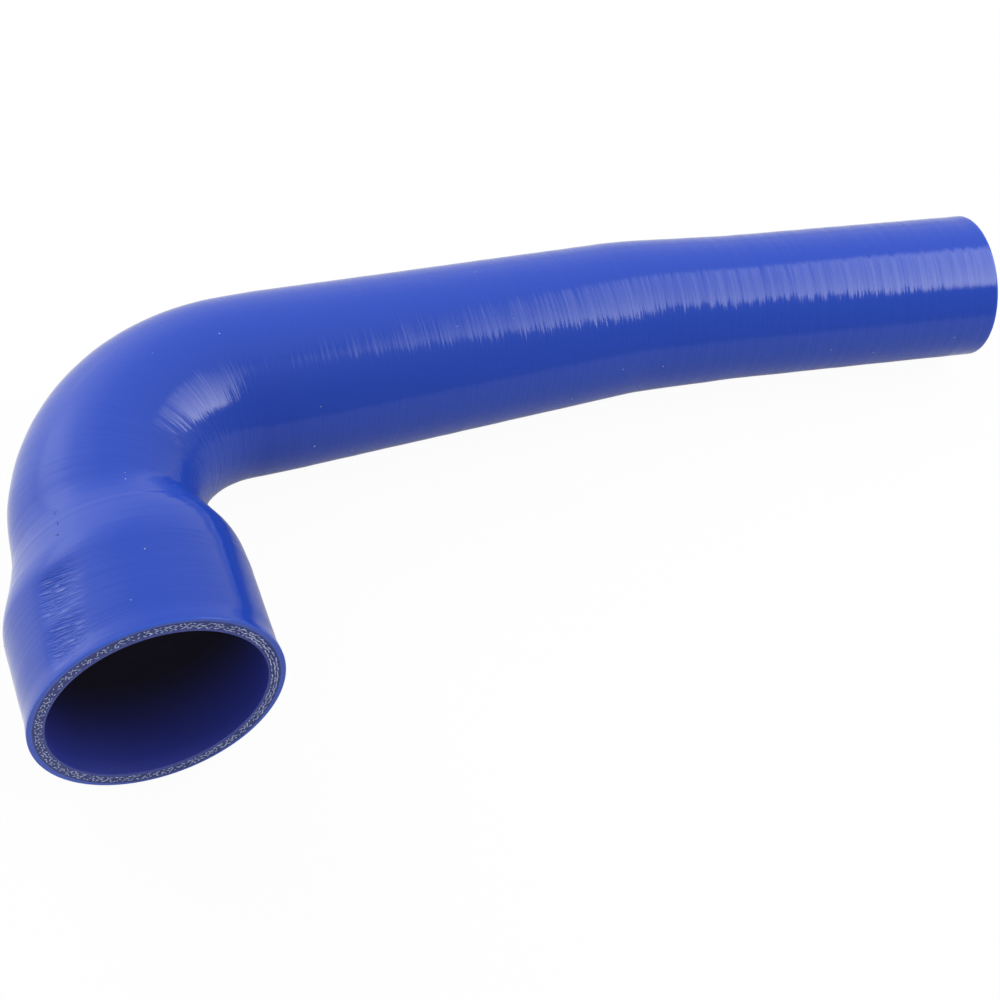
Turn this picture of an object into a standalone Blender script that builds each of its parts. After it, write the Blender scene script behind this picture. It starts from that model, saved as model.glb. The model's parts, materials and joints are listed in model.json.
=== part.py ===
# Moulded silicone blow-off valve hose: a wide socket, a short reducer, an elbow and a long
# tapering leg that ends in a narrow cuff. It is laid up on one bent mandrel and cured as one
# piece, so it is one solid: an even wall round one continuous bore, open at both ends.
# Units are metres, +Z is up, and the hose lies on the ground as it comes to rest.

import math

import bmesh
import bpy
from mathutils import Matrix, Vector

# Bores and wall
WALL = 0.0045
MOUTH_BORE = 0.063
NECK_BORE = 0.0474
ELBOW_BORE = 0.047
CUFF_BORE = 0.038

# Lengths along the centreline, from the mouth to the cuff's end
SOCKET_LENGTH = 0.0345
REDUCER_LENGTH = 0.0205
ELBOW_RADIUS = 0.056
ELBOW_ANGLE = math.radians(86.0)
LEG_LENGTH = 0.126
KINK_RADIUS = 0.120
KINK_ANGLE = math.radians(6.0)
CUFF_LENGTH = 0.119

# The leg's taper, measured from the end of the elbow
TAPER_START = 0.010
TAPER_LENGTH = 0.160

# The reducer is pushed a little towards the inside of the elbow, from just before its start
BELLY_SHIFT = 0.0014
BELLY_LEAD = 0.004

# Both ends are trimmed with a knife after curing, the mouth a little out of square, so that
# its side towards the outside of the elbow is the longer one
MOUTH_CUT_LEAN = math.radians(2.7)
OFFCUT_LENGTH = 0.008

# Facets: sides of the round section, the longest steps between sections, and the shortest
SIDES = 52
STRAIGHT_STEP = 0.018
REDUCER_STEP = 0.0026
ELBOW_STEP = math.radians(4.6)
KINK_STEP = math.radians(2.0)
LEAST_STEP = 0.001

COLOUR = (0.030, 0.062, 0.420, 1.0)
ROUGHNESS = 0.32

# Stations, measured along the centreline from the mouth
NECK_STATION = SOCKET_LENGTH + REDUCER_LENGTH
ELBOW_END = NECK_STATION + ELBOW_RADIUS * ELBOW_ANGLE
KINK_START = ELBOW_END + LEG_LENGTH
KINK_END = KINK_START + KINK_RADIUS * KINK_ANGLE
HOSE_END = KINK_END + CUFF_LENGTH
BELLY_START = SOCKET_LENGTH - BELLY_LEAD
TAPER_BEGINS = ELBOW_END + TAPER_START
TAPER_ENDS = TAPER_BEGINS + TAPER_LENGTH


def clear_scene():
    for old in list(bpy.data.objects):
        bpy.data.objects.remove(old, do_unlink=True)


def new_collection(name):
    made = bpy.data.collections.new(name)
    bpy.context.scene.collection.children.link(made)
    return made


def ease(share):
    """0 before the stretch and 1 after it, level at both ends."""
    share = min(max(share, 0.0), 1.0)
    return share * share * (3.0 - 2.0 * share)


def outer_radius(station):
    """Radius of the outside at a distance along the centreline from the mouth."""
    mouth = MOUTH_BORE / 2 + WALL
    neck = NECK_BORE / 2 + WALL
    elbow = ELBOW_BORE / 2 + WALL
    cuff = CUFF_BORE / 2 + WALL
    if station < NECK_STATION:
        return mouth + (neck - mouth) * ease((station - SOCKET_LENGTH) / REDUCER_LENGTH)
    if station < ELBOW_END:
        return neck + (elbow - neck) * ease((station - NECK_STATION) / (ELBOW_END - NECK_STATION))
    share = (station - TAPER_BEGINS) / TAPER_LENGTH
    return elbow + (cuff - elbow) * min(max(share, 0.0), 1.0)


def belly_offset(station):
    """How far a section stands off the centreline, towards the inside of the elbow."""
    share = (station - BELLY_START) / (NECK_STATION - BELLY_START)
    return BELLY_SHIFT * math.sin(math.pi * share) ** 2 if 0 < share < 1 else 0.0


def ahead(heading):
    """Unit vector along a heading, which is the angle from +Y towards +X."""
    return Vector((math.sin(heading), math.cos(heading), 0))


def to_the_right(heading):
    """Unit vector towards the inside of the elbow."""
    return Vector((math.cos(heading), -math.sin(heading), 0))


def arc_end(start, heading, radius, angle):
    """Where an arc ends that leaves a point along a heading and turns right by an angle."""
    sideways = to_the_right(heading) * radius * (1 - math.cos(angle))
    return start + ahead(heading) * radius * math.sin(angle) + sideways


def centreline(station):
    """Point and heading at a station. The mouth is at the origin and the bore runs along +Y,
    then turns right in the elbow and again, a little, at the kink."""
    point = ahead(0) * min(station, NECK_STATION)
    if station <= NECK_STATION:
        return point, 0.0
    turned = min((station - NECK_STATION) / ELBOW_RADIUS, ELBOW_ANGLE)
    point = arc_end(point, 0.0, ELBOW_RADIUS, turned)
    if station <= ELBOW_END:
        return point, turned
    point = point + ahead(ELBOW_ANGLE) * (min(station, KINK_START) - ELBOW_END)
    if station <= KINK_START:
        return point, ELBOW_ANGLE
    bent = min((station - KINK_START) / KINK_RADIUS, KINK_ANGLE)
    point = arc_end(point, ELBOW_ANGLE, KINK_RADIUS, bent)
    heading = ELBOW_ANGLE + bent
    return point + ahead(heading) * max(station - KINK_END, 0.0), heading


def stations():
    """Where the sections stand: close together where the form turns, far apart where it runs on."""
    turning = [
        (BELLY_START, NECK_STATION, REDUCER_STEP),
        (NECK_STATION, ELBOW_END, ELBOW_RADIUS * ELBOW_STEP),
        (KINK_START, KINK_END, KINK_RADIUS * KINK_STEP),
    ]
    breaks = {-OFFCUT_LENGTH, SOCKET_LENGTH, TAPER_BEGINS, TAPER_ENDS, HOSE_END + OFFCUT_LENGTH}
    breaks.update(edge for start, end, _ in turning for edge in (start, end))
    found = [min(breaks)]
    for place in sorted(breaks)[1:]:
        start = found[-1]
        if place - start < LEAST_STEP:
            continue
        middle = (start + place) / 2
        step = min([STRAIGHT_STEP] + [fine for low, high, fine in turning if low < middle < high])
        count = math.ceil((place - start) / step)
        found += [start + (place - start) * i / count for i in range(1, count + 1)]
    return found


def sheath_mesh():
    """The outside as one open tube, longer than the finished hose by an offcut at each end."""
    curve = bpy.data.curves.new("hose_outside", "CURVE")
    curve.dimensions = "3D"
    curve.bevel_depth = MOUTH_BORE / 2 + WALL
    curve.bevel_resolution = (SIDES - 4) // 2
    places = stations()
    spline = curve.splines.new("POLY")
    spline.points.add(len(places) - 1)
    for point, station in zip(spline.points, places):
        point.co = (*centreline(station)[0], 1.0)
        point.radius = outer_radius(station) / curve.bevel_depth
    guide = bpy.data.objects.new("hose_outside", curve)
    bpy.context.scene.collection.objects.link(guide)
    evaluated = guide.evaluated_get(bpy.context.evaluated_depsgraph_get())
    mesh = bpy.data.meshes.new_from_object(evaluated)
    bpy.data.objects.remove(guide)
    for vertex in mesh.vertices:
        # Before the elbow the bore runs along +Y, so that y is the station
        vertex.co.x += belly_offset(vertex.co.y)
    return mesh


def add_knife(name, station, side, lean, hose, collection):
    """Trims off what stands beyond a station, with a block turned by a lean in the hose's plane.
    The side is -1 for what comes before the station and 1 for what comes after it."""
    size = 4 * (MOUTH_BORE / 2 + WALL)
    bpy.ops.mesh.primitive_cube_add(size=size)
    block = bpy.context.object
    block.name = name
    block.display_type = "WIRE"
    block.hide_render = True
    for owner in block.users_collection:
        owner.objects.unlink(block)
    collection.objects.link(block)
    point, heading = centreline(station)
    turn = Matrix.Rotation(lean - heading, 4, "Z")
    block.matrix_world = Matrix.Translation(point) @ turn @ Matrix.Translation((0, side * size / 2, 0))
    block.parent = hose
    trim = hose.modifiers.new(name, "BOOLEAN")
    trim.object = block
    trim.operation = "DIFFERENCE"
    trim.solver = "EXACT"


def silicone():
    material = bpy.data.materials.new("blue_silicone")
    material.use_nodes = True
    shader = material.node_tree.nodes["Principled BSDF"]
    shader.inputs["Base Color"].default_value = COLOUR
    shader.inputs["Roughness"].default_value = ROUGHNESS
    shader.inputs["Metallic"].default_value = 0.0
    return material


def centre_of_mass(mesh):
    """Centre of the volume that a closed triangulated mesh bounds."""
    total, moment = 0.0, Vector((0, 0, 0))
    for face in mesh.faces:
        a, b, c = (corner.co for corner in face.verts)
        volume = a.dot(b.cross(c)) / 6
        total += volume
        moment += volume * (a + b + c) / 4
    return moment / total


def holds(triangle, normal, point):
    """Whether a point, dropped along a normal, falls inside a triangle."""
    corners = [corner.co for corner in triangle.verts]
    return all(
        (end - start).cross(point - start).dot(normal) >= 0
        for start, end in zip(corners, corners[1:] + corners[:1])
    )


def resting_turn(hose):
    """The turn that lays the hose on the face of its hull that it comes to rest on."""
    evaluated = hose.evaluated_get(bpy.context.evaluated_depsgraph_get())
    solid = bmesh.new()
    solid.from_mesh(evaluated.to_mesh())
    bmesh.ops.triangulate(solid, faces=solid.faces[:])
    centre = centre_of_mass(solid)
    hull = bmesh.ops.convex_hull(solid, input=solid.verts[:])
    skin = [item for item in hull["geom"] if isinstance(item, bmesh.types.BMFace)]
    under = []
    for face in skin:
        face.normal_update()
        outwards = face.normal if face.normal.dot(face.verts[0].co - centre) > 0 else -face.normal
        if holds(face, face.normal, centre):
            under.append(outwards.copy())
    down = min(under, key=lambda normal: normal.z)
    solid.free()
    evaluated.to_mesh_clear()
    return down.rotation_difference(Vector((0, 0, -1))).to_matrix().to_4x4()


def lay_down(hose):
    """Turns the hose as it rests, on z = 0, with the middle of its box over the origin."""
    turn = resting_turn(hose)
    evaluated = hose.evaluated_get(bpy.context.evaluated_depsgraph_get())
    corners = [turn @ vertex.co for vertex in evaluated.data.vertices]
    low, high = (Vector([pick(c[axis] for c in corners) for axis in range(3)]) for pick in (min, max))
    middle = Vector(((low.x + high.x) / 2, (low.y + high.y) / 2, low.z))
    hose.matrix_world = Matrix.Translation(-middle) @ turn


def make_hose():
    parts = new_collection("blow_off_valve_hose")
    cutters = new_collection("cutters")
    hose = bpy.data.objects.new("hose", sheath_mesh())
    parts.objects.link(hose)
    hose.data.materials.clear()
    hose.data.materials.append(silicone())
    hose.data.shade_smooth()
    wall = hose.modifiers.new("wall", "SOLIDIFY")
    wall.thickness = WALL
    wall.offset = -1.0
    wall.use_quality_normals = True
    add_knife("mouth_knife", 0.0, -1, MOUTH_CUT_LEAN, hose, cutters)
    add_knife("cuff_knife", HOSE_END, 1, 0.0, hose, cutters)
    bpy.context.view_layer.update()
    lay_down(hose)


clear_scene()
make_hose()
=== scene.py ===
import json
import math
import random

import bmesh
import bpy
import numpy as np
from mathutils import Euler, Matrix, Vector, noise


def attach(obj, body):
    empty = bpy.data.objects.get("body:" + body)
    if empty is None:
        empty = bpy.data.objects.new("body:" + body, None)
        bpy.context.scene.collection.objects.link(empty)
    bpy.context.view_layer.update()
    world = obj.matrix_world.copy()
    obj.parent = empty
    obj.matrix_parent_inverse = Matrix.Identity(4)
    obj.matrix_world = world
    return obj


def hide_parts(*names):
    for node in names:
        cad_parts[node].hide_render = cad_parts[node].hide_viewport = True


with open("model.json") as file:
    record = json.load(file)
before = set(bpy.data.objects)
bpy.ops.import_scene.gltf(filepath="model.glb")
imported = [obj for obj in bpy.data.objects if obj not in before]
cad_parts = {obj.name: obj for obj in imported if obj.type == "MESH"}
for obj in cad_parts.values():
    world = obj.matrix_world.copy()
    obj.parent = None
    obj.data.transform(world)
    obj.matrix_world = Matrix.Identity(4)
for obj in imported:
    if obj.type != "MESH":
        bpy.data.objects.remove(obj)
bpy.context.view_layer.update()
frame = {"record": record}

print("hose scene: frame loaded")

# The hose's own sizes, in metres and radians. A station is a distance along the centreline from
# the mouth. Around is the angle round the section: 0 at the inside of the elbow, pi / 2 on top.
hose = {
    "wall": 0.0045,
    "mouthBore": 0.063,
    "neckBore": 0.0474,
    "elbowBore": 0.047,
    "cuffBore": 0.038,
    "socketLength": 0.0345,
    "reducerLength": 0.0205,
    "elbowRadius": 0.056,
    "elbowAngle": math.radians(86),
    "legLength": 0.126,
    "bendRadius": 0.120,
    "bendAngle": math.radians(6),
    "cuffLength": 0.119,
    "taperStart": 0.010,
    "taperLength": 0.160,
    "bellyShift": 0.0006,
    "bellyLead": 0.004,
    # where the reducer's outside really starts and how far it runs: it is softer than the core
    "shoulderStation": 0.032,
    "shoulderLength": 0.029,
    "mouthLean": math.radians(2.7),
    "leanReach": 0.020,
}
neckStation = hose["socketLength"] + hose["reducerLength"]
elbowEnd = neckStation + hose["elbowRadius"] * hose["elbowAngle"]
bendStart = elbowEnd + hose["legLength"]
bendEnd = bendStart + hose["bendRadius"] * hose["bendAngle"]
hoseEnd = bendEnd + hose["cuffLength"]


def ease(share):
    share = np.clip(share, 0.0, 1.0)
    return share * share * (3.0 - 2.0 * share)


def outsideRadius(station):
    mouth, neck, elbow, cuff = (
        hose[name + "Bore"] / 2 + hose["wall"] for name in ("mouth", "neck", "elbow", "cuff")
    )
    shoulder = ease((station - hose["shoulderStation"]) / hose["shoulderLength"])
    turn = ease((station - neckStation) / (elbowEnd - neckStation))
    taper = np.clip((station - elbowEnd - hose["taperStart"]) / hose["taperLength"], 0.0, 1.0)
    radius = mouth + (neck - mouth) * shoulder
    radius = radius + (elbow - neck) * turn
    return radius + (cuff - elbow) * taper


def pathAt(station):
    # centre, unit vector ahead and unit vector towards the inside of the elbow, in the hose's plane
    elbow, bend = hose["elbowRadius"], hose["bendRadius"]
    turned = np.clip((station - neckStation) / elbow, 0.0, hose["elbowAngle"])
    bent = np.clip((station - bendStart) / bend, 0.0, hose["bendAngle"])
    x = elbow * (1 - np.cos(turned))
    y = np.minimum(station, neckStation) + elbow * np.sin(turned)
    straight = np.clip(station - elbowEnd, 0.0, hose["legLength"])
    first = hose["elbowAngle"]
    x = x + straight * math.sin(first) + bend * (math.cos(first) - np.cos(first + bent))
    y = y + straight * math.cos(first) + bend * (np.sin(first + bent) - math.sin(first))
    last = first + hose["bendAngle"]
    x = x + np.maximum(station - bendEnd, 0.0) * math.sin(last)
    y = y + np.maximum(station - bendEnd, 0.0) * math.cos(last)
    heading = turned + bent
    lead = hose["bellyLead"]
    belly = np.clip((station - hose["socketLength"] + lead) / (hose["reducerLength"] + lead), 0.0, 1.0)
    x = x + hose["bellyShift"] * np.sin(math.pi * belly) ** 2
    flat = np.zeros_like(heading)
    centre = np.stack((x, y, flat), axis=-1)
    ahead = np.stack((np.sin(heading), np.cos(heading), flat), axis=-1)
    inward = np.stack((np.cos(heading), -np.sin(heading), flat), axis=-1)
    return centre, ahead, inward


def layingDown():
    # the hose's plane as it lies, worked out from the two end faces in the record
    faces = {mount["name"]: mount for mount in frame["record"]["mounts"]}
    mouthAxis = Vector(faces["mouth_face"]["axis"]).normalized()
    cuffAxis = Vector(faces["cuff_face"]["axis"]).normalized()
    normal = mouthAxis.cross(cuffAxis).normalized()
    across = normal.cross(mouthAxis)
    lean = hose["mouthLean"]
    xAxis = across * math.cos(lean) + mouthAxis * math.sin(lean)
    yAxis = across * math.sin(lean) - mouthAxis * math.cos(lean)
    mouth = Vector(faces["mouth_face"]["pos_m"]) - normal * (hose["mouthBore"] + hose["wall"]) / 2
    return Matrix.Translation(mouth) @ Matrix((xAxis, yAxis, normal)).transposed().to_4x4()


laid = np.array(layingDown())


def placesOn(station, around, radius):
    # places in the frame at a station, an angle and a distance from the centreline
    fade = np.clip(1 - station / hose["leanReach"], 0.0, 1.0)
    station = station + radius * np.cos(around) * math.tan(hose["mouthLean"]) * fade
    centre, ahead, inward = pathAt(station)
    up = np.array((0.0, 0.0, 1.0))
    out = inward * np.cos(around)[:, None] + up * np.sin(around)[:, None]
    places = centre + out * radius[:, None]
    return places @ laid[:3, :3].T + laid[:3, 3]


# Relief of the outside, in metres: slow waves of the curing tape, a flare at the mouth's lip, a
# fuller shoulder where the socket meets the inside of the elbow, a slight waist on the far side,
# and the hollow that a grip left on the outer side of the socket, steeper at its far side and
# with a rib across it. Of four numbers, a form starts at the first, is full between the middle
# two and ends at the last. Angles are in degrees.
relief = {
    "waveLength": 0.0055,
    "waveAround": 0.9,
    "waveDepth": 0.00007,
    "flareReach": 0.0065,
    "flareHeight": 0.0006,
    "fullAround": (-60, 8, 48, 105),
    "fullStations": (0.035, 0.048, 0.052, 0.063),
    "fullHeight": 0.0017,
    "waistAround": (120, 158, 215, 260),
    "waistStations": (0.028, 0.042, 0.053, 0.070),
    "waistDepth": 0.0006,
    "gripAround": (118, 133, 138, 145),
    "gripStations": (0.001, 0.006, 0.026, 0.032),
    "gripDepth": 0.00125,
    "gripRib": 0.0155,
    "gripRibHalf": 0.0030,
    "gripRibShare": 0.55,
    # degrees round the hose for each metre along it
    "gripSlant": 160,
}


def plateau(value, corners):
    # 0 outside the first and last corner, 1 between the two in the middle
    first, second, third, last = corners
    return ease((value - first) / (second - first)) * (1 - ease((value - third) / (last - third)))


def gripAt(station, around):
    fromRib = station - relief["gripRib"]
    turn = np.degrees(around) % 360 + relief["gripSlant"] * fromRib
    rib = np.exp(-(fromRib / relief["gripRibHalf"]) ** 2) * relief["gripRibShare"]
    return plateau(turn, relief["gripAround"]) * plateau(station, relief["gripStations"]) * (1 - rib)


def reliefAt(station, around):
    size = relief["waveAround"]
    rings = (np.cos(around) * size, np.sin(around) * size, station / relief["waveLength"])
    places = np.stack(rings, axis=-1)
    wave = np.array([noise.noise(place) for place in places])
    flare = ease(1 - station / relief["flareReach"])
    inside = (np.degrees(around) + 180) % 360 - 180
    full = plateau(inside, relief["fullAround"]) * plateau(station, relief["fullStations"])
    outside = np.degrees(around) % 360
    waist = plateau(outside, relief["waistAround"]) * plateau(station, relief["waistStations"])
    height = relief["waveDepth"] * wave + relief["flareHeight"] * flare
    height = height + relief["fullHeight"] * full - relief["waistDepth"] * waist
    return height - relief["gripDepth"] * gripAt(station, around)


# The moulded body: one closed shell, spun straight and then bent onto the path
body = {
    "sides": 144,
    "outsideCuts": 520,
    "endCuts": 12,
    "boreCuts": 96,
    "tailCrowding": 0.3,
    # roughness that the knife left on the cut faces: depth in metres, features to the radian and
    # across the wall, and how far all of it lies inwards as a share of the depth
    "cutRoughness": 0.00007,
    "cutGrain": (30, 30, 9),
    "cutRise": 0.6,
    "edgeRound": 0.00028,
    "plyDrift": 0.08,
    "plyOutmost": math.radians(105),
}


def plyDrift(around):
    # the plies lie a little off the middle of the wall: outwards above and below, inwards beside
    return body["plyDrift"] * math.cos(2 * (around - body["plyOutmost"]))


def straightShell():
    # outside at radius 2, bore at radius 1, from z 0 at the mouth to z 1 at the cuff. Its faces
    # look into the rubber, because the bend onto the path mirrors them.
    bm = bmesh.new()
    corners = [bm.verts.new(place) for place in ((2, 0, 0), (2, 0, 1), (1, 0, 1), (1, 0, 0))]
    for start, end in zip(corners, corners[1:] + corners[:1]):
        bm.edges.new((start, end))
    # a side of this profile is known by how far out its middle lies
    for low, high, cuts in ((1.9, 2.1, "outsideCuts"), (0.9, 1.1, "boreCuts"), (1.1, 1.9, "endCuts")):
        side = [edge for edge in bm.edges if low < (edge.verts[0].co.x + edge.verts[1].co.x) / 2 < high]
        bmesh.ops.subdivide_edges(bm, edges=side, cuts=body[cuts])
    bmesh.ops.spin(
        bm, geom=bm.verts[:] + bm.edges[:], cent=(0, 0, 0), axis=(0, 0, 1), dvec=(0, 0, 0),
        angle=2 * math.pi, steps=body["sides"], use_merge=True,
    )
    return bm


def hoseBody():
    bm = straightShell()
    hair = 1e-6
    for face in bm.faces:
        middle = face.calc_center_median()
        atEnd = middle.z < hair or middle.z > 1 - hair
        inBore = middle.xy.length < 1.01
        face.material_index = 1 if atEnd else 2 if inBore else 0
        face.smooth = True
    unit = np.array([vertex.co for vertex in bm.verts])
    around = np.arctan2(unit[:, 1], unit[:, 0])
    depth = np.hypot(unit[:, 0], unit[:, 1]) - 1
    along = unit[:, 2]
    crowding = body["tailCrowding"]
    station = hoseEnd * ((1 + crowding) * along - crowding * along * along)
    height = reliefAt(station, around) * depth
    radius = outsideRadius(station) - hose["wall"] * (1 - depth) + height
    grain = np.stack((np.cos(around), np.sin(around), depth), axis=-1) * body["cutGrain"]
    ragged = np.array([noise.noise(place) for place in grain])
    inPly = np.clip(4 * depth * (1 - depth), 0, 1) * (ragged + body["cutRise"]) * body["cutRoughness"]
    station = station + np.where(along < hair, inPly, np.where(along > 1 - hair, -inPly, 0.0))
    wrap = bm.verts.layers.float_vector.new("wrap")
    wallShare = bm.verts.layers.float.new("wallShare")
    grip = bm.verts.layers.float.new("grip")
    places = placesOn(station, around, radius)
    pressed = gripAt(station, around)
    for vertex, place, turn, share, at, mark in zip(bm.verts, places, around, depth, station, pressed):
        vertex.co = place
        vertex[wrap] = (math.cos(turn), math.sin(turn), at)
        vertex[wallShare] = share - plyDrift(turn)
        vertex[grip] = mark
    # the bevel goes by the normals, which still belong to the straight shell
    bm.normal_update()
    rims = [edge for edge in bm.edges if len({face.material_index for face in edge.link_faces}) == 2]
    bmesh.ops.bevel(
        bm, geom=rims, offset=body["edgeRound"], offset_type="OFFSET", affect="EDGES",
        segments=2, profile=0.5, material=-1,
    )
    return finished(bm, "hose_body")


def finished(bm, name):
    mesh = bpy.data.meshes.new(name)
    bm.to_mesh(mesh)
    bm.free()
    piece = bpy.data.objects.new(name, mesh)
    bpy.context.scene.collection.objects.link(piece)
    return piece


# Yarn ends of the reinforcing plies, which show in the two cut faces. Sizes are in metres, and a
# row is a share of the wall, 0 at the bore.
yarn = {
    "rows": (0.30, 0.48, 0.66),
    "thickness": 0.00036,
    "length": 0.00135,
    "longest": 0.0036,
    "pitch": 0.00140,
    "missing": 0.12,
    # how far they stand out of the cut, and how high they are as a share of their thickness
    "lift": -0.00004,
    "height": 0.6,
    "tilt": math.radians(40),
    # round this angle the ends lie flat along the rim, and some are longer
    "flatAround": math.radians(15),
    "flatShare": 0.85,
    # how much they differ: place along the row and across it, tilt, length, thickness
    "wander": 0.3,
    "stray": 0.00014,
    "tilts": (0.3, 1.2),
    "lengths": (0.6, 1.25),
    "thicknesses": (0.7, 1.15),
    "seed": 7,
}


def beadMesh():
    bm = bmesh.new()
    bmesh.ops.create_uvsphere(bm, u_segments=6, v_segments=4, radius=1.0)
    bead = bpy.data.meshes.new("bead")
    bm.to_mesh(bead)
    bm.free()
    return bead


def frameAt(station, around, radius):
    # a place on the hose, with unit vectors round it, ahead along it and out of it, by small steps
    station, around, radius = (np.array([value]) for value in (station, around, radius))
    turnStep, outStep = 0.01, 0.001
    place = Vector(placesOn(station, around, radius)[0])
    step = Vector(placesOn(station, around + turnStep, radius)[0]) - place
    out = Vector(placesOn(station, around, radius + outStep)[0]) - place
    ahead = Vector(laid[:3, :3] @ pathAt(station)[1][0])
    return place, step.normalized(), ahead, out.normalized()


def stamp(bm, bead, place, axes):
    copy = bead.copy()
    copy.transform(Matrix.Translation(place) @ Matrix(axes).transposed().to_4x4())
    bm.from_mesh(copy)
    bpy.data.meshes.remove(copy)


def yarnEnds():
    bm = bmesh.new()
    bead = beadMesh()
    pick = random.Random(yarn["seed"])
    for endStation, sign in ((0.0, -1), (hoseEnd, 1)):
        outside = float(outsideRadius(endStation))
        for share in yarn["rows"]:
            middle = outside - hose["wall"] * (1 - share)
            count = int(2 * math.pi * middle / yarn["pitch"])
            for number in range(count):
                if pick.random() < yarn["missing"]:
                    continue
                around = 2 * math.pi * (number + pick.uniform(-1, 1) * yarn["wander"]) / count
                stray = pick.uniform(-1, 1) * yarn["stray"]
                radius = middle + hose["wall"] * plyDrift(around) + stray
                addYarnEnd(bm, bead, pick, endStation, sign, around, radius, number % 2)
    for face in bm.faces:
        face.smooth = True
    bpy.data.meshes.remove(bead)
    return finished(bm, "yarn_ends")


def addYarnEnd(bm, bead, pick, station, sign, around, radius, leaning):
    place, step, ahead, out = frameAt(station, around, radius)
    facing = ahead * sign
    flat = max(0.0, math.cos(around - yarn["flatAround"])) ** 3
    tilt = (yarn["tilt"] if leaning else -yarn["tilt"]) * pick.uniform(*yarn["tilts"])
    tilt = tilt * (1 - yarn["flatShare"] * flat)
    long = step * math.cos(tilt) + out * math.sin(tilt)
    wide = facing.cross(long)
    stretch = (yarn["longest"] - yarn["length"]) * flat * pick.random()
    length = (yarn["length"] + stretch) * pick.uniform(*yarn["lengths"]) / 2
    thick = yarn["thickness"] * pick.uniform(*yarn["thicknesses"]) / 2
    axes = (long * length, wide * thick, facing * thick * yarn["height"])
    stamp(bm, bead, place + facing * yarn["lift"], axes)


# Dust on the outside and dark scuffs behind the socket. Sizes are in metres, and a mark's
# thickness is a share of its size.
marks = {
    "stretch": (0.7, 1.3),
    "patches": (2500, 2500, 2500),
    "patchesFrom": (0.3, 0.7),
}
dust = {
    # station in millimetres and around in degrees of the specks that show from the front
    "seen": (
        (60, 84), (57, 85), (26, 90), (10.5, 102), (108.5, 97),
        (129.5, 87), (155.5, 28), (217.5, 107), (222.5, 62), (203.5, 63),
    ),
    # further ones, in degrees from straight down: none where the hose lies on the ground
    "more": 60,
    "fromDown": (32, 100),
    "offEnds": 0.004,
    "size": (0.00009, 0.00019),
    "thickness": 0.8,
    "shades": ((0.50, 0.55, 0.68, 1), (0.72, 0.75, 0.82, 1)),
    "roughness": 0.7,
    "seed": 11,
}
scuffs = {
    # station in millimetres and around in degrees of each group, and how far its scuffs stray
    "places": ((52, 127), (47, 127), (41.5, 127)),
    "each": 3,
    "spread": 0.8,
    "size": (0.00018, 0.00034),
    "thickness": 0.15,
    "shades": ((0.010, 0.020, 0.10, 1), (0.020, 0.035, 0.18, 1)),
    "roughness": 0.5,
    "seed": 5,
}


def addMark(bm, bead, pick, station, around, settings):
    size = pick.uniform(*settings["size"])
    relieved = float(reliefAt(np.array([station]), np.array([around]))[0])
    place, step, ahead, out = frameAt(station, around, float(outsideRadius(station)) + relieved)
    wide, long = (size * pick.uniform(*marks["stretch"]) for _ in range(2))
    stamp(bm, bead, place, (ahead * long, step * wide, out * size * settings["thickness"]))


def dustSpecks():
    bm = bmesh.new()
    bead = beadMesh()
    pick = random.Random(dust["seed"])
    places = [(station / 1000, math.radians(around)) for station, around in dust["seen"]]
    least, most = (math.radians(angle) for angle in dust["fromDown"])
    for _ in range(dust["more"]):
        offDown = pick.choice((-1, 1)) * pick.uniform(least, most)
        station = pick.uniform(dust["offEnds"], hoseEnd - dust["offEnds"])
        places.append((station, math.radians(270) + offDown))
    for station, around in places:
        addMark(bm, bead, pick, station, around, dust)
    bpy.data.meshes.remove(bead)
    return finished(bm, "dust_specks")


def scuffMarks():
    bm = bmesh.new()
    bead = beadMesh()
    pick = random.Random(scuffs["seed"])
    for station, around in scuffs["places"]:
        for _ in range(scuffs["each"]):
            at = (station + pick.uniform(-1, 1) * scuffs["spread"]) / 1000
            turn = math.radians(around + pick.uniform(-1, 1) * scuffs["spread"])
            addMark(bm, bead, pick, at, turn, scuffs)
    bpy.data.meshes.remove(bead)
    return finished(bm, "scuff_marks")


# Shader graphs
class Wire:
    # a socket that can be summed: an expression on it adds Math nodes
    def __init__(self, graph, socket):
        self.graph = graph
        self.socket = socket

    def __add__(self, other):
        return self.graph.maths("ADD", self, other)

    def __radd__(self, other):
        return self.graph.maths("ADD", other, self)

    def __sub__(self, other):
        return self.graph.maths("SUBTRACT", self, other)

    def __rsub__(self, other):
        return self.graph.maths("SUBTRACT", other, self)

    def __mul__(self, other):
        return self.graph.maths("MULTIPLY", self, other)


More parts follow.
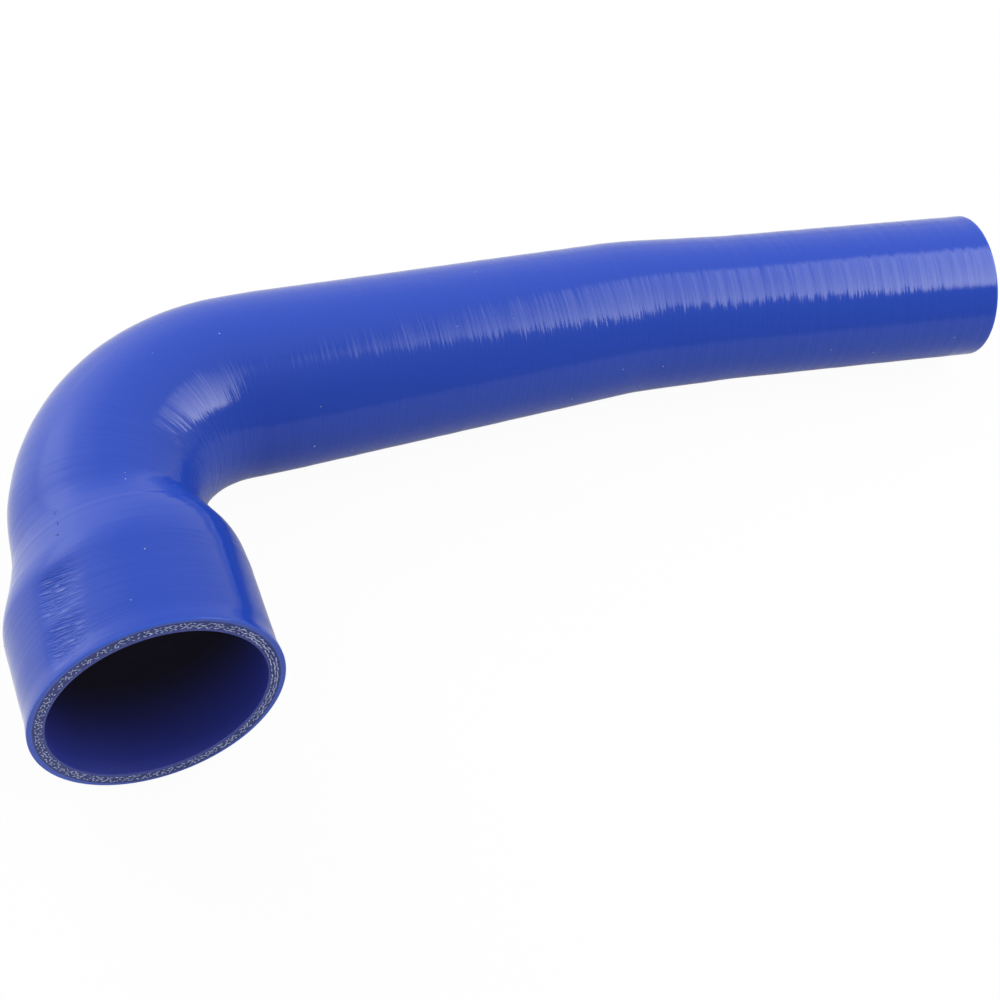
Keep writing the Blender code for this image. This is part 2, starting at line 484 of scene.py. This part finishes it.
class Graph:
    def __init__(self, owner):
        owner.use_nodes = True
        self.tree = owner.node_tree
        self.tree.nodes.clear()

    def add(self, kind, settings, sockets, output=0):
        node = self.tree.nodes.new(kind)
        for name, value in settings.items():
            setattr(node, name, value)
        for name, value in sockets.items():
            if isinstance(value, Wire):
                self.tree.links.new(value.socket, node.inputs[name])
            else:
                node.inputs[name].default_value = value
        if node.outputs:
            return Wire(self, node.outputs[output])

    def noise(self, vector, scale, detail):
        stretch = {"Vector": vector, "Scale": scale}
        place = self.add("ShaderNodeMapping", {"vector_type": "POINT"}, stretch)
        sockets = {"Vector": place, "Scale": 1.0, "Detail": detail, "Roughness": 0.5}
        return self.add("ShaderNodeTexNoise", {"noise_dimensions": "3D"}, sockets)

    def mixed(self, share, first, second):
        return self.add("ShaderNodeMix", {"data_type": "RGBA"}, {0: share, 6: first, 7: second}, 2)

    def maths(self, operation, *values):
        return self.add("ShaderNodeMath", {"operation": operation}, dict(enumerate(values)))

    def vectorMaths(self, operation, *values, output=0):
        settings = {"operation": operation}
        return self.add("ShaderNodeVectorMath", settings, dict(enumerate(values)), output)

    def split(self, vector):
        first = self.add("ShaderNodeSeparateXYZ", {}, {"Vector": vector})
        return [Wire(self, socket) for socket in first.socket.node.outputs]

    def between(self, value, low, high):
        sockets = {"Value": value, "From Min": low, "From Max": high, "To Min": 0.0, "To Max": 1.0}
        return self.add("ShaderNodeMapRange", {"interpolation_type": "SMOOTHSTEP", "clamp": True}, sockets)

    def attribute(self, name, output):
        settings = {"attribute_type": "GEOMETRY", "attribute_name": name}
        return self.add("ShaderNodeAttribute", settings, {}, output)

    def objectPlace(self):
        return self.add("ShaderNodeTexCoord", {}, {}, "Object")

    def bump(self, height):
        return self.add("ShaderNodeBump", {}, {"Strength": 1.0, "Distance": 1.0, "Height": height})

    def principled(self, sockets):
        shader = self.add("ShaderNodeBsdfPrincipled", {}, sockets)
        self.add("ShaderNodeOutputMaterial", {}, {"Surface": shader})


# The blue outside. Of three numbers of features, the last counts to the metre along the hose and
# the others count to the radian round it.
silicone = {
    "colour": (0.019, 0.070, 0.507, 1),
    "roughness": 0.10,
    "ior": 1.41,
    # grooves of the curing tape: features to the metre along the hose and depth in metres, then
    # features to the radian round it
    "grooves": ((300, 0.000026), (900, 0.000036), (2400, 0.000010)),
    "grooveAround": 1.3,
    # streaks of the grip mark: features, lean, depth, then the pale colour of their painted highlight,
    # standing in for the gloss of bright surroundings, and where and how much it shows
    "gripFeatures": (7.0, 7.0, 1250),
    "gripLean": 0.012,
    "gripGrooves": 0.00075,
    "gripPaintedHighlight": (0.17, 0.23, 0.68, 1),
    "gripHighlightFrom": (0.54, 0.68),
    "gripHighlightShare": 0.7,
    # painted light: the colour near each cut end is lighter, as if light came through the thin edge
    "paintedLipGlow": (0.024, 0.105, 0.64, 1),
    "lipGlowReach": 0.0013,
    "wrinkles": 0.00026,
    "wrinkleFeatures": (1.6, 1.6, 650),
    "wrinkleStations": (0.062, 0.074, 0.104, 0.118),
    "wrinkleAcross": (0.45, 0.85),
    "ridgePitch": 0.0045,
    "ridgeFeatures": (0.25, 0.25, 110),
    "ridgeDrift": 0.0022,
    "ridgeSlope": 0.058,
    "ridgeFrom": 0.262,
    "ridgeFull": 0.300,
    "seamStation": 0.0487,
    "seamHalf": 0.0014,
    "seamHeight": 0.00005,
}


def tapeGrooves(graph, wrap):
    # fine rings of the curing tape, at three sizes
    height = 0.0
    for scale, depth in silicone["grooves"]:
        rings = graph.noise(wrap, (silicone["grooveAround"], silicone["grooveAround"], scale), 1.0)
        height = (rings - 0.5) * (2 * depth) + height
    return height


def tapeRidges(graph, wrap, station):
    # the laps of the tape towards the cuff: each turn rises slowly and then drops
    drift = graph.noise(wrap, silicone["ridgeFeatures"], 1.0) - 0.5
    turn = (station + drift * silicone["ridgeDrift"]) * (1 / silicone["ridgePitch"])
    phase = graph.maths("FRACT", turn)
    profile = 1.0 - graph.maths("COSINE", phase * math.pi) - phase * 2.0
    strength = graph.between(station, silicone["ridgeFrom"], silicone["ridgeFull"])
    return profile * strength * (silicone["ridgeSlope"] * silicone["ridgePitch"] / math.pi)


def neckSeam(graph, station):
    # the ring where the socket's plies end at the neck
    offset = graph.maths("ABSOLUTE", station - silicone["seamStation"])
    return (1.0 - graph.between(offset, 0.0, silicone["seamHalf"])) * silicone["seamHeight"]


def gripStreaks(graph, wrap):
    # slanting streaks where the skin was gripped
    across, over, station = graph.split(wrap)
    leaning = station + across * silicone["gripLean"]
    sheared = graph.add("ShaderNodeCombineXYZ", {}, {0: across, 1: over, 2: leaning})
    return graph.noise(sheared, silicone["gripFeatures"], 2.0)


def nearestEnd(graph, station):
    return graph.maths("MINIMUM", station, hoseEnd - station)


def skinColour(graph, station, streaks, grip):
    # painted highlight, pale, on the grip streaks; painted light, brighter near each cut end
    paintedHighlight = graph.between(streaks, *silicone["gripHighlightFrom"]) * grip * silicone["gripHighlightShare"]
    lipGlow = 1.0 - graph.between(nearestEnd(graph, station), 0.0, silicone["lipGlowReach"])
    colour = graph.mixed(paintedHighlight, silicone["colour"], silicone["gripPaintedHighlight"])
    return graph.mixed(lipGlow, colour, silicone["paintedLipGlow"])


def elbowWrinkles(graph, wrap):
    # the skin is gathered on the inside of the elbow
    across, _, station = graph.split(wrap)
    first, second, third, last = silicone["wrinkleStations"]
    here = graph.between(station, first, second) * (1.0 - graph.between(station, third, last))
    here = here * graph.between(across, *silicone["wrinkleAcross"])
    folds = graph.noise(wrap, silicone["wrinkleFeatures"], 1.0) - 0.5
    return folds * here * silicone["wrinkles"]


def blueSilicone():
    material = bpy.data.materials.new("blueSilicone")
    graph = Graph(material)
    wrap = graph.attribute("wrap", "Vector")
    station = graph.split(wrap)[2]
    grip = graph.attribute("grip", "Fac")
    height = tapeGrooves(graph, wrap) + tapeRidges(graph, wrap, station) + neckSeam(graph, station)
    streaks = gripStreaks(graph, wrap)
    height = height + (streaks - 0.5) * grip * silicone["gripGrooves"] + elbowWrinkles(graph, wrap)
    graph.principled({
        "Base Color": skinColour(graph, station, streaks, grip),
        "Roughness": silicone["roughness"],
        "IOR": silicone["ior"],
        "Normal": graph.bump(height),
    })
    return material


cutFace = {
    # the skin's blue is painted lighter than the outside's own colour, as painted light on the cut face
    "skin": (0.052, 0.120, 0.66, 1),
    "ply": (0.014, 0.025, 0.19, 1),
    "liner": (0.045, 0.065, 0.36, 1),
    "pale": (0.12, 0.17, 0.50, 1),
    "paleShare": 0.35,
    "mottle": (1400, 1400, 1400),
    "mottleFrom": (0.35, 0.75),
    "grain": 0.00005,
    # where the skin starts and the liner ends in the wall, 0 at the bore, and how soft the change is
    "skinFrom": 0.76,
    "linerTo": 0.17,
    "soft": 0.02,
    "roughness": 0.45,
    "ior": 1.45,
}


def cutSilicone():
    material = bpy.data.materials.new("cutSilicone")
    graph = Graph(material)
    share, soft = graph.attribute("wallShare", "Fac"), cutFace["soft"]
    skin = graph.between(share, cutFace["skinFrom"] - soft, cutFace["skinFrom"] + soft)
    core = graph.between(share, cutFace["linerTo"] - soft, cutFace["linerTo"] + soft)
    colour = graph.mixed(skin, graph.mixed(core, cutFace["liner"], cutFace["ply"]), cutFace["skin"])
    mottle = graph.noise(graph.objectPlace(), cutFace["mottle"], 2.0)
    pale = graph.between(mottle, *cutFace["mottleFrom"]) * cutFace["paleShare"]
    graph.principled({
        "Base Color": graph.mixed(pale, colour, cutFace["pale"]),
        "Roughness": cutFace["roughness"],
        "IOR": cutFace["ior"],
        "Normal": graph.bump(mottle * cutFace["grain"]),
    })
    return material


liner = {
    # painted shade: the bore's blue at the ends turns to a dark grey deeper inside the hose
    "atEnds": (0.036, 0.052, 0.38, 1),
    "deepShade": (0.042, 0.036, 0.060, 1),
    "reach": (0.002, 0.035),
    "roughness": 0.55,
    "gloss": 0.2,
    "grainFeatures": (3.0, 3.0, 260),
    "grain": 0.00004,
}


def boreSilicone():
    material = bpy.data.materials.new("boreSilicone")
    graph = Graph(material)
    wrap = graph.attribute("wrap", "Vector")
    # painted shade: darker away from the ends of the bore
    deepShade = graph.between(nearestEnd(graph, graph.split(wrap)[2]), *liner["reach"])
    grain = (graph.noise(wrap, liner["grainFeatures"], 3.0) - 0.5) * liner["grain"]
    graph.principled({
        "Base Color": graph.mixed(deepShade, liner["atEnds"], liner["deepShade"]),
        "Roughness": liner["roughness"],
        "Specular IOR Level": liner["gloss"],
        "Normal": graph.bump(grain),
    })
    return material


fibres = {
    "light": (0.62, 0.71, 1.00, 1),
    "dark": (0.22, 0.28, 0.56, 1),
    "lightFrom": (0.30, 0.55),
    "features": (1900, 1900, 1900),
    "grain": 0.00004,
    "roughness": 0.6,
    "ior": 1.45,
}


def paleYarn():
    material = bpy.data.materials.new("paleYarn")
    graph = Graph(material)
    fibre = graph.noise(graph.objectPlace(), fibres["features"], 2.0)
    light = graph.between(fibre, *fibres["lightFrom"])
    graph.principled({
        "Base Color": graph.mixed(light, fibres["dark"], fibres["light"]),
        "Roughness": fibres["roughness"],
        "IOR": fibres["ior"],
        "Normal": graph.bump(fibre * fibres["grain"]),
    })
    return material


def markMaterial(name, settings):
    # small patches of the two shades of a mark
    material = bpy.data.materials.new(name)
    graph = Graph(material)
    patches = graph.noise(graph.objectPlace(), marks["patches"], 1.0)
    second = graph.between(patches, *marks["patchesFrom"])
    graph.principled({
        "Base Color": graph.mixed(second, *settings["shades"]),
        "Roughness": settings["roughness"],
    })
    return material


hosePiece = hoseBody()
for material in (blueSilicone(), cutSilicone(), boreSilicone()):
    hosePiece.data.materials.append(material)
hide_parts("hose")
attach(hosePiece, "root")
print("hose scene: moulded body,", len(hosePiece.data.polygons), "faces")

yarnPiece = yarnEnds()
yarnPiece.data.materials.append(paleYarn())
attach(yarnPiece, "root")
print("hose scene: yarn ends,", len(yarnPiece.data.polygons), "faces")

dustPiece = dustSpecks()
dustPiece.data.materials.append(markMaterial("dust", dust))
scuffPiece = scuffMarks()
scuffPiece.data.materials.append(markMaterial("scuff", scuffs))
for piece in (dustPiece, scuffPiece):
    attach(piece, "root")
markFaces = len(dustPiece.data.polygons) + len(scuffPiece.data.polygons)
print("hose scene: dust and scuffs,", markFaces, "faces")

# Studio: a white room with a softbox at the right and a panel at the back left. A dome that only
# the gloss sees is darker at the front right and brighter at the back left.
camera = {
    "place": (-0.2633, -0.4013, 0.6307),
    "turn": (35.879, -10.741, -18.044),
    "lens": 90.0,
}
studio = {
    "white": (1, 1, 1, 1),
    "worldLight": 0.575,
    "floorSize": 6.0,
    "floorColour": (0.60, 0.60, 0.60, 1),
    # the glow's share for the camera, and for the gloss at the left and at the right
    "floorInCamera": 0.96,
    "floorInGloss": (0.92, 0.12),
    "floorGlow": (1.45, 1.45, 1.45, 1),
    "floorGlowFrom": (-0.30, -0.07),
}
softbox = {
    "place": (0.396, 0.001, 0.472),
    "turn": (31.9, 6.9, 57.2),
    "size": (0.447, 0.464),
    # how far each edge fades, in metres: left, right, low, high
    "fades": (0.020, 0.045, 0.045, 0.045),
    "gloss": 4.2,
    # how its brightness slopes: across, up, and across times up
    "slant": (0.14, -0.76, 0.19),
    "dimmest": 0.05,
    "light": 1.95,
}
panelLamp = {
    "place": (-0.62, 0.84, 0.62),
    "aim": (-0.05, 0.0, 0.03),
    "size": (0.9, 0.7),
    "light": 4.0,
}
dome = {
    "middle": (0.0, 0.0, 0.03),
    "reach": 1.15,
    "lowest": 0.001,
    "level": 0.82,
    # azimuth and elevation of the middle, angles at which the change is full and gone, change
    "patches": ((145, -5, 30, 103, -0.53), (-45, 10, 9, 52, 0.70), (-39, 12, 4, 21, 0.78)),
}


def direction(azimuth, elevation):
    # azimuth 0 is +Y and 90 is +X, in degrees
    turn, rise = math.radians(azimuth), math.radians(elevation)
    return Vector((math.sin(turn) * math.cos(rise), math.cos(turn) * math.cos(rise), math.sin(rise)))


def onlyInGloss(piece):
    for ray in ("camera", "diffuse", "shadow", "transmission", "volume_scatter"):
        setattr(piece, "visible_" + ray, False)


def glossDome():
    bm = bmesh.new()
    middle = Vector(dome["middle"])
    bmesh.ops.create_uvsphere(
        bm, u_segments=64, v_segments=32, radius=dome["reach"], matrix=Matrix.Translation(middle),
    )
    bmesh.ops.bisect_plane(
        bm, geom=bm.verts[:] + bm.edges[:] + bm.faces[:], plane_co=(0, 0, dome["lowest"]),
        plane_no=(0, 0, 1), clear_inner=True,
    )
    piece = finished(bm, "gloss_dome")
    material = bpy.data.materials.new("domeGlow")
    graph = Graph(material)
    ray = graph.vectorMaths("NORMALIZE", graph.vectorMaths("SUBTRACT", graph.objectPlace(), middle))
    level = dome["level"]
    for azimuth, elevation, full, gone, change in dome["patches"]:
        axis = direction(azimuth, elevation)
        cosine = graph.vectorMaths("DOT_PRODUCT", ray, axis, output="Value")
        angle = graph.maths("ARCCOSINE", cosine) * (180 / math.pi)
        level = (1.0 - graph.between(angle, full, gone)) * change + level
    glow = graph.add("ShaderNodeEmission", {}, {"Color": level, "Strength": 1.0})
    graph.add("ShaderNodeOutputMaterial", {}, {"Surface": glow})
    piece.data.materials.append(material)
    onlyInGloss(piece)


def softboxFront():
    # the softbox as the gloss shows it: soft edges, and brighter towards two of its corners
    bm = bmesh.new()
    bm.loops.layers.uv.new("front")
    half = [side / 2 for side in softbox["size"]]
    left, right, low, high = softbox["fades"]
    reach = [side + max(softbox["fades"]) for side in half]
    turn = Euler([math.radians(angle) for angle in softbox["turn"]]).to_matrix().to_4x4()
    place = Matrix.Translation(softbox["place"]) @ turn @ Matrix.Diagonal((reach[0], reach[1], 1, 1))
    bmesh.ops.create_grid(bm, x_segments=1, y_segments=1, size=1, matrix=place, calc_uvs=True)
    piece = finished(bm, "softbox_front")
    material = bpy.data.materials.new("softboxGlow")
    graph = Graph(material)
    across, up, _ = graph.split(graph.add("ShaderNodeTexCoord", {}, {}, "UV"))
    across, up = (across * 2.0 - 1.0) * reach[0], (up * 2.0 - 1.0) * reach[1]
    inside = graph.between(across, -half[0] - left, -half[0] + left)
    inside = inside * (1.0 - graph.between(across, half[0] - right, half[0] + right))
    inside = inside * graph.between(up, -half[1] - low, -half[1] + low)
    inside = inside * (1.0 - graph.between(up, half[1] - high, half[1] + high))
    byAcross, byUp, byBoth = softbox["slant"]
    across, up = across * (1 / half[0]), up * (1 / half[1])
    level = across * byAcross + up * byUp + across * up * byBoth + 1.0
    level = graph.maths("MAXIMUM", level, softbox["dimmest"])
    glow = graph.add("ShaderNodeEmission", {}, {"Color": level, "Strength": softbox["gloss"]})
    clear = graph.add("ShaderNodeBsdfTransparent", {}, {})
    both = graph.add("ShaderNodeMixShader", {}, {0: inside, 1: clear, 2: glow})
    graph.add("ShaderNodeOutputMaterial", {}, {"Surface": both})
    piece.data.materials.append(material)
    onlyInGloss(piece)


def areaLight(name, settings):
    # a lamp for the matt share of the light alone: the gloss sees the dome and the softbox's front
    wide, high = settings["size"]
    light = bpy.data.lights.new(name, "AREA")
    light.shape = "RECTANGLE"
    light.size, light.size_y = wide, high
    light.energy = settings["light"] * math.pi * wide * high
    lamp = bpy.data.objects.new(name, light)
    bpy.context.scene.collection.objects.link(lamp)
    lamp.location = settings["place"]
    if "aim" in settings:
        towards = Vector(settings["aim"]) - Vector(settings["place"])
        lamp.rotation_euler = towards.to_track_quat("-Z", "Y").to_euler()
    else:
        lamp.rotation_euler = [math.radians(angle) for angle in settings["turn"]]
    lamp.visible_camera = False
    lamp.visible_glossy = False


def isRay(graph, *kinds):
    # 1 for a ray of one of these kinds, else 0
    return sum(graph.add("ShaderNodeLightPath", {}, {}, "Is " + kind + " Ray") for kind in kinds)


def whiteWorld():
    world = bpy.data.worlds.new("studioWorld")
    graph = Graph(world)
    shown = isRay(graph, "Camera", "Glossy", "Transmission")
    white = graph.add("ShaderNodeBackground", {}, {"Color": studio["white"], "Strength": 1.0})
    settings = {"Color": studio["white"], "Strength": studio["worldLight"]}
    level = graph.add("ShaderNodeBackground", {}, settings)
    both = graph.add("ShaderNodeMixShader", {}, {0: shown, 1: level, 2: white})
    graph.add("ShaderNodeOutputWorld", {}, {"Surface": both})
    bpy.context.scene.world = world


def whiteFloor():
    bm = bmesh.new()
    bmesh.ops.create_grid(bm, x_segments=1, y_segments=1, size=studio["floorSize"] / 2)
    floor = finished(bm, "studio_floor")
    material = bpy.data.materials.new("floorWhite")
    graph = Graph(material)
    inCamera = isRay(graph, "Camera")
    inGloss = isRay(graph, "Glossy", "Transmission")
    x = graph.split(graph.objectPlace())[0]
    left, right = studio["floorInGloss"]
    glossShare = graph.between(x, *studio["floorGlowFrom"]) * (right - left) + left
    share = inCamera * studio["floorInCamera"] + inGloss * glossShare
    colour = graph.mixed(inCamera, studio["floorColour"], studio["white"])
    matt = graph.add("ShaderNodeBsdfDiffuse", {}, {"Color": colour})
    glowColour = graph.mixed(inCamera, studio["floorGlow"], studio["white"])
    white = graph.add("ShaderNodeEmission", {}, {"Color": glowColour, "Strength": 1.0})
    both = graph.add("ShaderNodeMixShader", {}, {0: share, 1: matt, 2: white})
    graph.add("ShaderNodeOutputMaterial", {}, {"Surface": both})
    floor.data.materials.append(material)


whiteWorld()
whiteFloor()
glossDome()
softboxFront()
for name, settings in (("softboxLight", softbox), ("panelLight", panelLamp)):
    areaLight(name, settings)

eye = bpy.data.objects.new("camera", bpy.data.cameras.new("camera"))
bpy.context.scene.collection.objects.link(eye)
eye.location = camera["place"]
eye.rotation_euler = [math.radians(angle) for angle in camera["turn"]]
eye.data.lens = camera["lens"]
bpy.context.scene.camera = eye
bpy.context.scene.view_settings.view_transform = "Standard"
print("hose scene: studio and camera")
